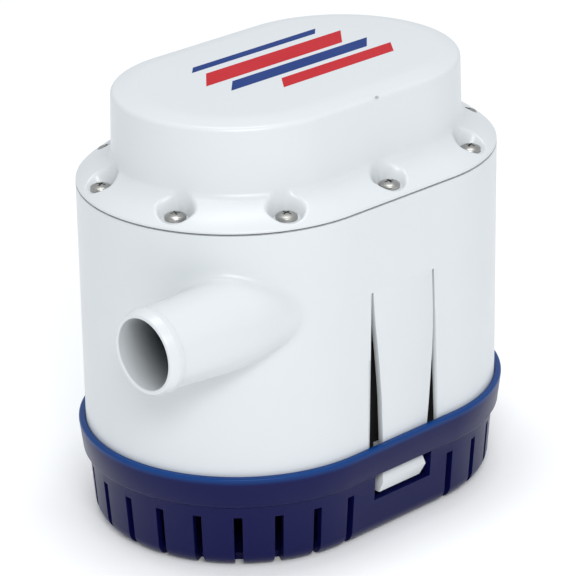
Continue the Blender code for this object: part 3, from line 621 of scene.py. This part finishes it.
def make_housing(finishes):
    low, high = LEDGE_Z, SEAM_Z - 0.2
    body = outer_skin(low, high)
    boolean(body, inner_works(high), 'UNION')
    finished(body, "housing_shell", finishes["white_abs"], "pump", ["housing"], angle=30)
    body.data.materials.append(finishes["recess"])
    body.data.materials.append(finishes["bore"])
    # painted shade: faces inside the latch recesses get the dark grey recess material, faces of the bore
    # the material that darkens with depth
    for face in body.data.polygons:
        x, y, z = face.center * 1000
        if abs(x) < RECESS_X and RECESS_Y < abs(y) < END_R - 1.7 and z < RECESS_TOP_Z:
            face.material_index = 1
        elif x < -50 and math.hypot(y - NOZZLE_Y, z - NOZZLE_Z) < BORE_R + 0.02:
            face.material_index = 2


def latch_opening(side):
    """Cutter for the tapered opening in the wall; the arm leaves a slit open at each side of it."""
    cutter = block("opening", (WINDOW_LOW_X[0], -END_R - 5, LEDGE_Z - 5),
                   (WINDOW_LOW_X[1], -END_R + 2.5, SLIT_TOP_Z))
    for vertex in cutter.data.vertices:
        if vertex.co.z > mm(60):
            vertex.co.x = mm(WINDOW_TOP_X[1] if vertex.co.x > 0 else WINDOW_TOP_X[0])
    if side > 0:
        cutter.data.transform(Matrix.Rotation(math.pi, 4, 'Z'))
    return cutter


# ------------------------------------------------------------------ latch arms
def make_latch(side, finish):
    """Tongue that springs from the wall, its stem behind the collar and the catch in the window."""
    face = -END_R - SKIN
    root = SLIT_TOP_Z
    tongue = block("tongue", (-STEM_X, face, TONGUE_LOW_Z), (STEM_X, face + ARM_T, root))
    edit(tongue, 'EDGE')
    for i in range(14):
        bpy.ops.mesh.select_all(action='SELECT')
        bpy.ops.mesh.bisect(plane_co=mm(0, 0, 38.0 + 4.0 * i), plane_no=(0, 0, 1))
    deselect_all()
    for vertex in tongue.data.vertices:
        edge = ARM_RIGHT_EDGE if vertex.co.x > 0 else ARM_LEFT_EDGE
        heights, widths = zip(*edge)
        vertex.co.x = mm(float(np.interp(vertex.co.z * 1000, heights, widths)))
    stem = block("stem", (-STEM_X, face + CATCH_IN - 2.7, CATCH_LOW_Z), (STEM_X, face + CATCH_IN, 34.6))
    neck = block("neck", (-STEM_X, face + 1.1, TONGUE_LOW_Z + 0.1), (STEM_X, face + 4.4, 34.4))
    catch = make_catch(face)
    boolean(tongue, neck, 'UNION')
    boolean(tongue, stem, 'UNION')
    boolean(tongue, catch, 'UNION')
    round_edges(tongue, 0.3, 2, lambda a, b: min(a.z, b.z) < mm(root - 0.2))
    if side > 0:
        tongue.data.transform(Matrix.Rotation(math.pi, 4, 'Z'))
    name = "rear" if side > 0 else "front"
    finished(tongue, f"latch_{name}_spring", finish, None, [f"latch_arm_{name}"])
    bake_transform(tongue)


def make_catch(face):
    """Wedge with a ridge along its middle and sloped ends, its left end cut back at the top."""
    low, high = CATCH_LOW_Z, CATCH_HIGH_Z
    middle = (low + high) / 2
    catch = block("catch", (-STEM_X, face + 1.9, low), (STEM_X, face + CATCH_IN, high))
    edit(catch)
    bpy.ops.mesh.select_all(action='SELECT')
    bpy.ops.mesh.bisect(plane_co=mm(0, 0, middle), plane_no=(0, 0, 1))
    deselect_all()
    for vertex in catch.data.vertices:
        height = vertex.co.z * 1000 - middle
        if abs(height) > 0.1:
            left, right = (-8.6, 11.3) if height > 0 else (-10.4, 10.2)
        else:
            left, right = -9.8, 12.0
            if vertex.co.y < mm(face + 3):
                vertex.co.y = mm(face + 0.5)
        vertex.co.x = mm(right if vertex.co.x > 0 else left)
    return catch


def round_edges(piece, width, segments, wanted):
    """Bevel the sharp edges that a test picks by their two ends."""
    mesh = piece.data
    edit(piece, 'EDGE')
    bpy.ops.mesh.select_all(action='DESELECT')
    bpy.ops.mesh.edges_select_sharp(sharpness=math.radians(32))
    bpy.ops.object.mode_set(mode='OBJECT')
    chosen = []
    for edge in mesh.edges:
        if edge.select:
            a, b = (mesh.vertices[i].co for i in edge.vertices)
            if wanted(a, b):
                chosen.append(edge.index)
    for collection in (mesh.vertices, mesh.edges, mesh.polygons):
        collection.foreach_set("select", [False] * len(collection))
    for index in chosen:
        mesh.edges[index].select = True
        for corner in mesh.edges[index].vertices:
            mesh.vertices[corner].select = True
    bpy.ops.object.mode_set(mode='EDIT')
    bpy.ops.mesh.bevel(offset=mm(width), segments=segments, clamp_overlap=True, affect='EDGES')
    deselect_all()


# ------------------------------------------------------------------ cover
def pocket_height(x, y):
    """Height of the scooped pockets round the screws; high where there is no pocket.

    The walls are steep towards the dome and lean back at the sides.
    """
    height = np.full(len(x), 1000.0)
    for px, py in screw_places():
        cx = max(min(px, END_X), -END_X)
        inward = np.array((cx - px, -py)) / np.hypot(cx - px, py)
        along = (x - px) * inward[1] - (y - py) * inward[0]
        behind = (x - px) * inward[0] + (y - py) * inward[1]
        spread = np.maximum(np.hypot(along, behind), 0.001)
        steep = 1.7 + 6.0 * np.maximum(behind / spread, 0.0) ** 2
        wall = POCKET_FLOOR_Z + np.maximum(spread - POCKET_FLOOR_R, 0.0) * steep
        height = np.minimum(height, wall)
    return height


def cover_profile():
    """Rim, sloping apron, foot fillet, leaning dome side, rounded corner and slightly crowned top."""
    outer = arc((0.42, COVER_Z + 0.42), 0.42, 270, 180, 3)
    outer += arc((0.55, COVER_Z + 0.62), 0.55, 180, 130, 3)
    start = outer[-1]
    end = (DOME_IN - 1.3, APRON_Z - 0.9)
    apron_steps = 26
    for i in range(1, apron_steps + 1):
        t = i / apron_steps
        outer.append((start[0] + (end[0] - start[0]) * t, start[1] + (end[1] - start[1]) * t
                      + 0.9 * math.sin(math.pi * t) * (1 - t)))
    outer += [(DOME_IN - 0.55, APRON_Z - 0.15), (DOME_IN - 0.12, APRON_Z + 0.75), (DOME_IN, APRON_Z + 1.8)]
    for i in range(1, 9):
        outer.append((DOME_IN + DOME_LEAN * i / 8, APRON_Z + 1.8 + DOME_SIDE * i / 8))
    corner = (DOME_IN + DOME_LEAN + DOME_CORNER_R, APRON_Z + 1.8 + DOME_SIDE)
    outer += arc(corner, DOME_CORNER_R, 180, 106, 7)[1:]
    crest = outer[-1]
    for i in range(1, 9):
        t = i / 8
        outer.append((crest[0] + 8.0 * t, crest[1] + (TOP_Z - crest[1]) * math.sin(math.pi / 2 * t)))
    return outer


def make_cover(finish):
    lid = oval_piece("cover_form", cover_profile(), steps=560, cuts=70)
    bend_pockets(lid)
    space = [(HOLLOW_IN, COVER_Z - 3), (HOLLOW_IN, COVER_Z + 2.6), (DOME_IN + 3.3, APRON_Z + 1),
             (DOME_IN + 3.5, 155.5), (DOME_IN + 4.9, 157.2), (DOME_IN + 12, TOP_Z - 3)]
    hollow = oval_piece("hollow", space, steps=96)
    boolean(lid, hollow)
    finished(lid, "cover_shell", finish, "pump", ["cover"], angle=40)


def bend_pockets(lid):
    """Press the screw pockets into the flange's slope, with softly rounded rims."""
    count = len(lid.data.vertices)
    flat = np.empty(count * 3)
    lid.data.vertices.foreach_get("co", flat)
    points = flat.reshape(-1, 3) * 1000.0
    x, y, z = points.T
    inset = END_R - np.hypot(np.maximum(np.abs(x) - END_X, 0.0), y)
    sloped = (z > COVER_Z + 0.6) & (inset < DOME_IN + 0.05) & (z < APRON_Z + 2.0)
    floor = pocket_height(x, y)
    reach = 0.9
    part = np.clip(0.5 + 0.5 * (floor - z) / reach, 0.0, 1.0)
    pressed = floor * (1 - part) + z * part - reach * part * (1 - part)
    points[:, 2] = np.where(sloped & (floor < z + reach), pressed, z)
    lid.data.vertices.foreach_set("co", (points * 0.001).ravel())
    lid.data.update()


# ------------------------------------------------------------------ strainer
def make_strainer(finish):
    """Tray with a stepped-out collar, slots through its round ends and a window for each catch."""
    profile = [(9.5, 0.0)] + arc((8.3, 6.2), 6.2, 270, 187, 10)
    profile += [(0.75, COLLAR_LOW_Z - 2.2), (0.55, COLLAR_LOW_Z - 1.4), (-1.0, COLLAR_LOW_Z - 0.25),
                (-1.4, COLLAR_LOW_Z + 0.4), (-2.62, COLLAR_Z - 1.1)]
    profile += arc((-1.85, COLLAR_Z - 0.75), 0.75, 180, 90, 4)
    profile += [(-0.45, COLLAR_Z), (-0.25, COLLAR_Z - 0.25), (-0.25, LEDGE_Z - 0.3), (4.2, LEDGE_Z - 0.3),
                (4.9, 6.5), (7.5, 2.6)]
    base = oval_piece("strainer_form", profile, steps=288)
    for side in (1, -1):
        slots = []
        for step in range(-90, 91, 15):
            slot = block("slot", (END_R - 9.5, -SLOT_HALF, -2), (END_R + 4, SLOT_HALF, SLOT_TOP_Z))
            slot.data.transform(Matrix.Rotation(math.radians(step + (180 if side < 0 else 0)), 4, 'Z'))
            slot.data.transform(Matrix.Translation(Vector(mm(side * END_X, 0, 0))))
            slots.append(slot)
        boolean(base, joined(slots))
    for side in (-1, 1):
        left, right = sorted(-side * x for x in STRAINER_WINDOW_X)
        window = block("window", (left, side * (END_R - 12), STRAINER_WINDOW_Z0),
                       (right, side * (END_R + 6), STRAINER_WINDOW_Z1))
        boolean(base, window)
        way = block("stem_way", (left, side * (END_R - 12), STRAINER_WINDOW_Z1 - 1),
                    (right, side * (END_R - 2.7), 29.5))
        boolean(base, way)
    holes = []
    for x in (-40, 40):
        for y in (-22, 22):
            holes.append(spun("hole", [(2.4, -1.0), (2.4, 1.2), (4.6, 3.4)], centre=(x, y, 0), steps=32))
    boolean(base, joined(holes))
    finished(base, "strainer_shell", finish, "strainer", ["strainer_base"], angle=32)


# ------------------------------------------------------------------ screws
def make_screws(finish):
    """Ten pan-head screws with a cross recess, each turned differently."""
    seat = POCKET_FLOOR_Z + 0.02
    top = seat + 2.35
    head = [(0.3, seat - 12.0), (1.85, seat - 10.5), (1.85, seat), (3.75, seat)]
    head += arc((2.95, seat + 0.85), 0.85, 0, 62, 5)
    head += [(2.4, top - 0.28), (1.6, top - 0.08), (0.8, top), (0.3, top + 0.01)]
    first = spun("screw", head, steps=48)
    for turn in (0, 90):
        slot = block("recess", (-1.75, -0.36, top - 1.15), (1.75, 0.36, top + 1))
        slot.data.transform(Matrix.Rotation(math.radians(turn), 4, 'Z'))
        boolean(first, slot)
    for number, (x, y) in enumerate(screw_places(), start=1):
        screw = bpy.data.objects.new("screw", first.data.copy())
        bpy.context.scene.collection.objects.link(screw)
        spin = Matrix.Rotation(math.radians(37.0 * number), 4, 'Z')
        screw.data.transform(Matrix.Translation(Vector(mm(x, y, 0))) @ spin)
        node_name = f"cover_screw_{number:02d}"
        finished(screw, f"pan_screw_{number:02d}", finish, "pump", [node_name], angle=30)
    bpy.data.objects.remove(first)


# ------------------------------------------------------------------ print on the top
def make_print(finishes):
    """Plain straight bars printed on the flat top."""
    bars = [("print_blue_line", -30, 30, 17.0, 21.0, "print_blue", 4.0),
            ("print_red_band", -36, 30, 3.0, 13.0, "print_red", 9.0),
            ("print_blue_band", -33, 33, -6.5, 0.5, "print_blue", 7.0),
            ("print_red_line", -18, 36, -17.0, -9.5, "print_red", 6.0)]
    for name, x0, x1, y0, y1, paint, slant in bars:
        bar = block(name, (x0, y0, TOP_Z - 0.2), (x1, y1, TOP_Z + 0.04))
        for vertex in bar.data.vertices:
            if vertex.co.y > mm((y0 + y1) / 2):
                vertex.co.x += mm(slant)
        finished(bar, name, finishes[paint], "pump")


def make_gate_mark(finish):
    """Small trimmed stub where the plastic entered the cover's mould, on the dome's front edge."""
    mark = spun("gate", [(0.1, -0.4), (0.55, -0.4), (0.55, 0.1), (0.4, 0.22), (0.1, 0.24)],
                centre=(0.5, -43.9, 160.75), steps=16)
    finished(mark, "gate_mark", finish, "pump")


# ------------------------------------------------------------------ cable gland
def make_gland(finish):
    """Round gland with a hexagon for a spanner, on the rear wall."""
    low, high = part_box("cable_gland")
    centre = ((low[0] + high[0]) * 500, 0, (low[2] + high[2]) * 500)
    face = END_R + 0.06
    collar = [(3.7, 50.0), (5.9, 50.0), (5.9, face), (8.0, face)]
    collar += arc((7.6, face + 1.1), 0.4, 0, 90, 3)
    collar += [(6.8, face + 1.6), (6.5, face + 1.9), (6.5, face + 4.3)]
    collar += arc((5.6, face + 4.4), 0.9, 0, 90, 4) + [(3.7, face + 5.3)]
    gland = spun("gland", collar, axis="Y", centre=centre, steps=72, closed=True)
    for i in range(6):
        flat = block("flat", (-6.0, face + 1.9, 5.75), (6.0, face + 4.0, 9.0))
        turn = Matrix.Rotation(math.radians(60 * i), 4, 'Y')
        flat.data.transform(Matrix.Translation(Vector(mm(*centre))) @ turn)
        boolean(gland, flat)
    finished(gland, "gland_body", finish, "pump", ["cable_gland"])


def paint_nodes(finishes):
    """Give every CAD node that still shows its material's finish."""
    slots = {part["node"]: part["material_slot"] for part in frame["record"]["subparts"]}
    for name, piece in NODES.items():
        piece.data.materials.clear()
        piece.data.materials.append(finishes[slots[name]])
        for slot in piece.material_slots:
            slot.material = finishes[slots[name]]


def main():
    make_camera()
    make_light()
    make_floor()
    finishes = make_materials()
    make_housing(finishes)
    for side in (-1, 1):
        make_latch(side, finishes["white_abs"])
    make_cover(finishes["white_abs"])
    make_strainer(finishes["navy_tray"])
    make_screws(finishes["stainless"])
    make_print(finishes)
    make_gate_mark(finishes["gate"])
    make_gland(finishes["navy_abs"])
    paint_nodes(finishes)


main()
